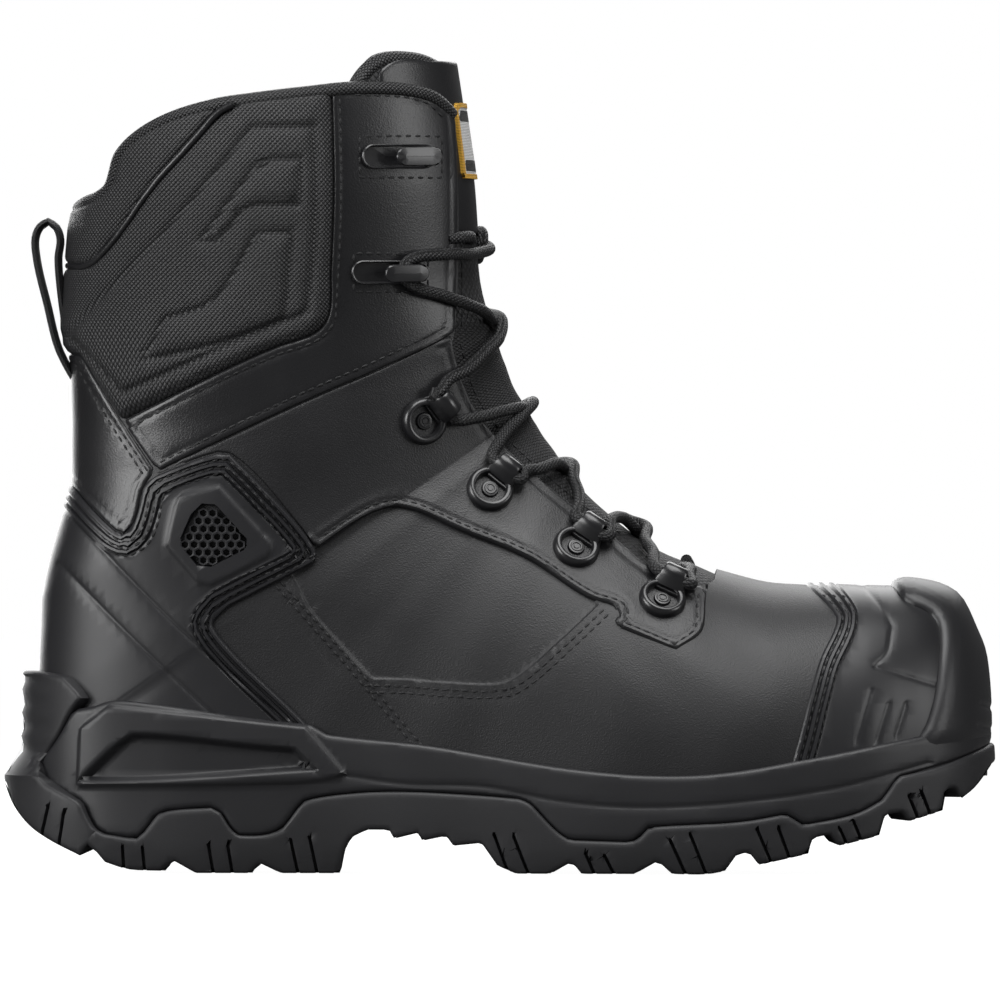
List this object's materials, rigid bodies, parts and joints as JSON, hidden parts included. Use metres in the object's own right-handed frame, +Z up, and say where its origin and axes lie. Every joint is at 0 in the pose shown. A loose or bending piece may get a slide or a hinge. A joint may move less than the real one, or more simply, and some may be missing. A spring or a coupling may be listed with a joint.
{
  "type": "safety boot",
  "caption": "Right eight-inch lace-up safety boot with moulded lugged sole, rubber toe bumper, ribbed heel counter and padded collar",
  "frame": {"origin": "on the floor, under the middle of the boot's bounding box", "axes": "+X to the toe, +Y to the inner side of the right foot, +Z up"},
  "size_m": [0.319, 0.1138, 0.2632],
  "materials": {
    "outsole_rubber": "matt moulded rubber with fine moulded texture",
    "midsole_rubber": "satin moulded rubber",
    "lining_textile": "soft knitted lining",
    "upper_leather": "soft nubuck-like black leather with a fine grain",
    "tongue_textile": "coarse black mesh textile",
    "label_weave": "woven label with an orange border round a pale field",
    "collar_textile": "padded black mesh textile",
    "counter_rubber": "satin moulded rubber with ribs",
    "smooth_leather": "smooth glossy black leather",
    "webbing": "narrow woven black webbing",
    "eyelet_plastic": "satin dark plastic",
    "lace_braid": "braided round black lace"
  },
  "bodies": {
    "root": {"outsole": "outsole_rubber", "midsole": "midsole_rubber", "insole": "lining_textile", "upper": "upper_leather", "tongue": "tongue_textile", "tongue_label": "label_weave", "collar": "collar_textile", "heel_counter": "counter_rubber", "toe_guard": "counter_rubber", "backstay": "smooth_leather", "pull_loop": "webbing", "facing_lateral": "upper_leather", "eyestay_lateral": "upper_leather", "facing_medial": "upper_leather", "eyestay_medial": "upper_leather", "eyelet_lateral_1": "eyelet_plastic", "eyelet_lateral_2": "eyelet_plastic", "eyelet_lateral_3": "eyelet_plastic", "eyelet_lateral_4": "eyelet_plastic", "hook_lateral_1": "eyelet_plastic", "hook_lateral_2": "eyelet_plastic", "eyelet_medial_1": "eyelet_plastic", "eyelet_medial_2": "eyelet_plastic", "eyelet_medial_3": "eyelet_plastic", "eyelet_medial_4": "eyelet_plastic", "hook_medial_1": "eyelet_plastic", "hook_medial_2": "eyelet_plastic", "laces": "lace_braid"}
  },
  "joints": []
}
